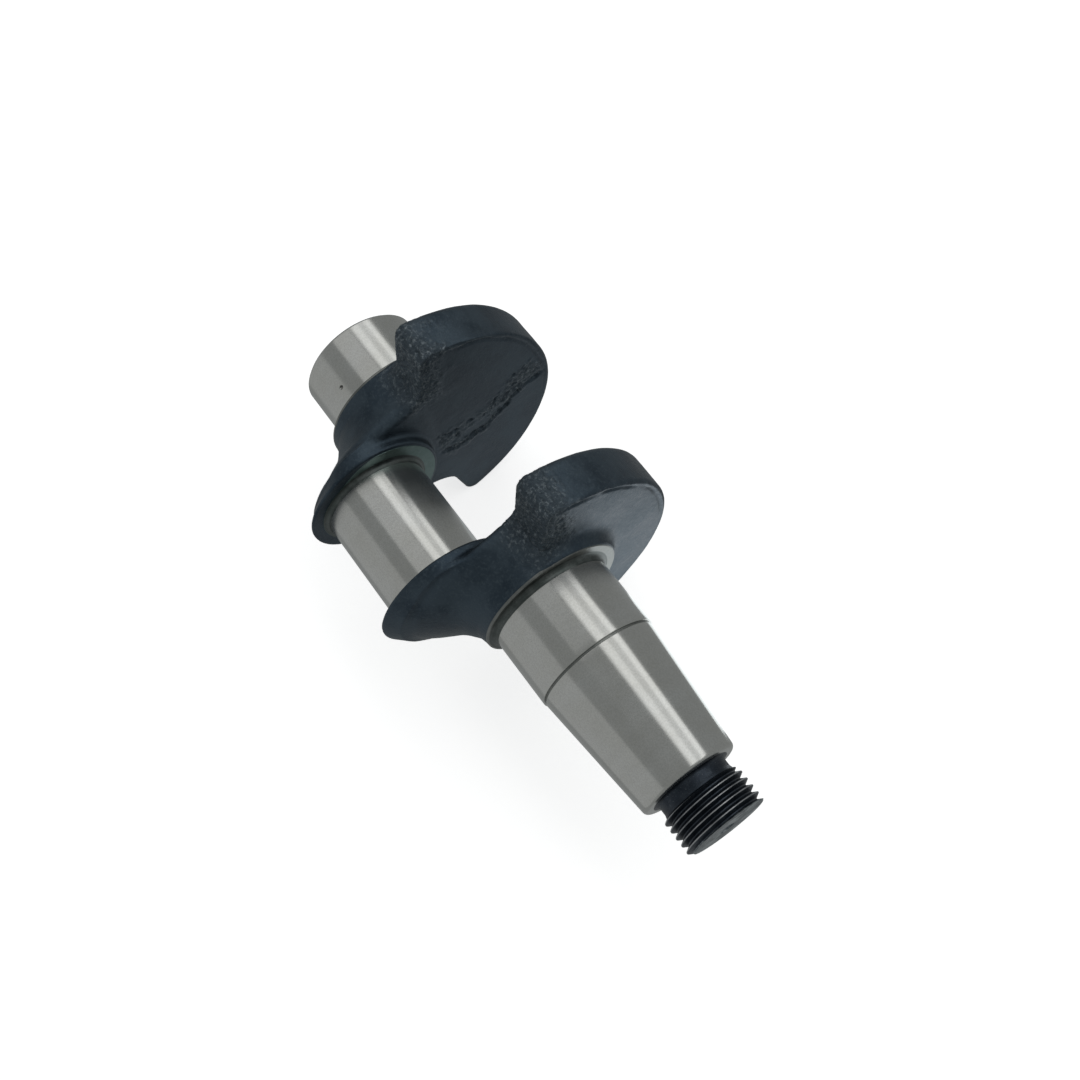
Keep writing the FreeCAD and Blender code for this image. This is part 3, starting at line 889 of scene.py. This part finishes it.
taper_end = TAPER_R - (SHOULDER_X - TAPER_X) / TAPER_RATIO / 2
taper = refine(profile(
    (TAPER_X, 0),
    (TAPER_X, RELIEF_R - 0.25),
    (TAPER_X, TAPER_R, 0.2),
    (SHOULDER_X, taper_end, 1.1),
    (SHOULDER_X, 8.5),
    (SHOULDER_X, 0)), TURNED_GRID)
piece = keyed(lathe("keyed_flywheel_taper", taper))
finish(piece, steel, "ground_steel", "flywheel_taper")

neck = profile(
    (SHOULDER_X - 0.3, 0),
    (SHOULDER_X - 0.3, 9.85),
    (SHOULDER_X + 0.02, 9.85),
    (SHOULDER_X + 0.05, NECK_R, 1.1),
    (THREAD_X - 0.9, NECK_R - 0.02, 1.4),
    (THREAD_X, 9.0),
    (THREAD_X, 0))
finish(lathe("thread_run_out_neck", neck), black, "blackened_thread", "thread_relief_neck")

thread = refine(profile(
    (THREAD_X - 0.02, 0),
    (THREAD_X - 0.02, NECK_R - 0.02),
    (THREAD_X, 8.95),
    (THREAD_X + 0.5, THREAD_R),
    (DRIVE_END_X - 0.3, THREAD_R),
    (DRIVE_END_X, THREAD_R - 0.3, 0.1),
    (DRIVE_END_X, CENTRE_R, 0.1),
    (DRIVE_END_X - CENTRE_CONE, CENTRE_PILOT_R),
    (DRIVE_END_X - CENTRE_DEPTH + 0.4, CENTRE_PILOT_R),
    (DRIVE_END_X - CENTRE_DEPTH, 0)), THREAD_GRID, NECK_R - 0.12)
piece = lathe("flywheel_nut_thread", thread, segments=320, shape=cut_thread)
finish(piece, black, "blackened_thread", "flywheel_thread")

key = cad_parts["woodruff_key"]
key.data.materials.clear()
key.data.materials.append(bright_key())

# ---------------------------------------------------------------- floor, lights, camera
LIGHT_DISTANCE = 1.4
FLOOR_Z = cad_box[0][2] - 0.0002
CARD_Z = cad_box[0][2] - 0.001

bpy.ops.mesh.primitive_plane_add(size=6.0, location=(0, 0, FLOOR_Z))
floor = bpy.context.object
floor.name = "floor"
pale = material("floor", (0.82, 0.82, 0.82), 0.6, 0.0, Emission_Strength=0.72, Emission_Color=(1, 1, 1, 1))
floor.data.materials.append(pale)
floor.visible_glossy = False
floor.visible_diffuse = False


def card(name, x0, x1, y0, y1, radiance):
    """Pale card under the object that only reflections see, for the webs' faces to mirror."""
    bpy.ops.mesh.primitive_plane_add(size=1.0, location=((x0 + x1) / 2, (y0 + y1) / 2, CARD_Z))
    obj = bpy.context.object
    obj.name = name
    obj.scale = (x1 - x0, y1 - y0, 1.0)
    tint = (0.93, 0.98, 1, 1)
    mat = material(name, (0, 0, 0), 1.0, 0.0, Emission_Strength=radiance, Emission_Color=tint)
    obj.data.materials.append(mat)
    obj.visible_camera = False
    obj.visible_diffuse = False
    obj.visible_shadow = False


card("drive_end_card", -0.012, 0.036, -0.002, 0.052, 1.3)
card("free_end_card", -0.062, -0.034, 0.0, 0.05, 0.42)

world = bpy.data.worlds.new("studio")
bpy.context.scene.world = world
world.use_nodes = True
world.node_tree.nodes["Background"].inputs["Color"].default_value = (0.27, 0.28, 0.28, 1)
world.node_tree.nodes["Background"].inputs["Strength"].default_value = 1.0


def softbox(name, phi, width, radiance, x=-0.3, length=3.0):
    """Rectangular light along X. phi is its bearing in the YZ plane from -Y towards +Z, width in degrees."""
    across = 2 * LIGHT_DISTANCE * math.tan(math.radians(width / 2))
    data = bpy.data.lights.new(name, "AREA")
    data.shape = "RECTANGLE"
    data.size = length
    data.size_y = across
    data.energy = radiance * math.pi * length * across
    obj = bpy.data.objects.new(name, data)
    bpy.context.scene.collection.objects.link(obj)
    a = math.radians(phi)
    obj.location = (x, -LIGHT_DISTANCE * math.cos(a), LIGHT_DISTANCE * math.sin(a))
    obj.rotation_euler = (math.pi / 2 - a, 0, 0)
    obj.visible_camera = False


softbox("key_strip_a", 113, 13, 0.28)
softbox("key_strip_b", 137.5, 11, 0.38)
softbox("key_fill", 123.5, 41, 0.52)
softbox("left_box", -8, 76, 0.13)
softbox("top_box", 82, 38, 0.30, x=-1.35, length=1.75)

# camera as fitted to the shaft's outlines in the photo
camera_data = bpy.data.cameras.new("camera")
camera_data.lens = 44.008
camera_data.sensor_width = 36.0
camera_data.clip_start = 0.01
camera = bpy.data.objects.new("camera", camera_data)
bpy.context.scene.collection.objects.link(camera)
camera.location = (0.09240, -0.03594, 0.31114)
camera.rotation_euler = tuple(math.radians(a) for a in (21.0636, 6.1352, 54.0618))
bpy.context.scene.camera = camera
bpy.context.scene.view_settings.view_transform = "Standard"
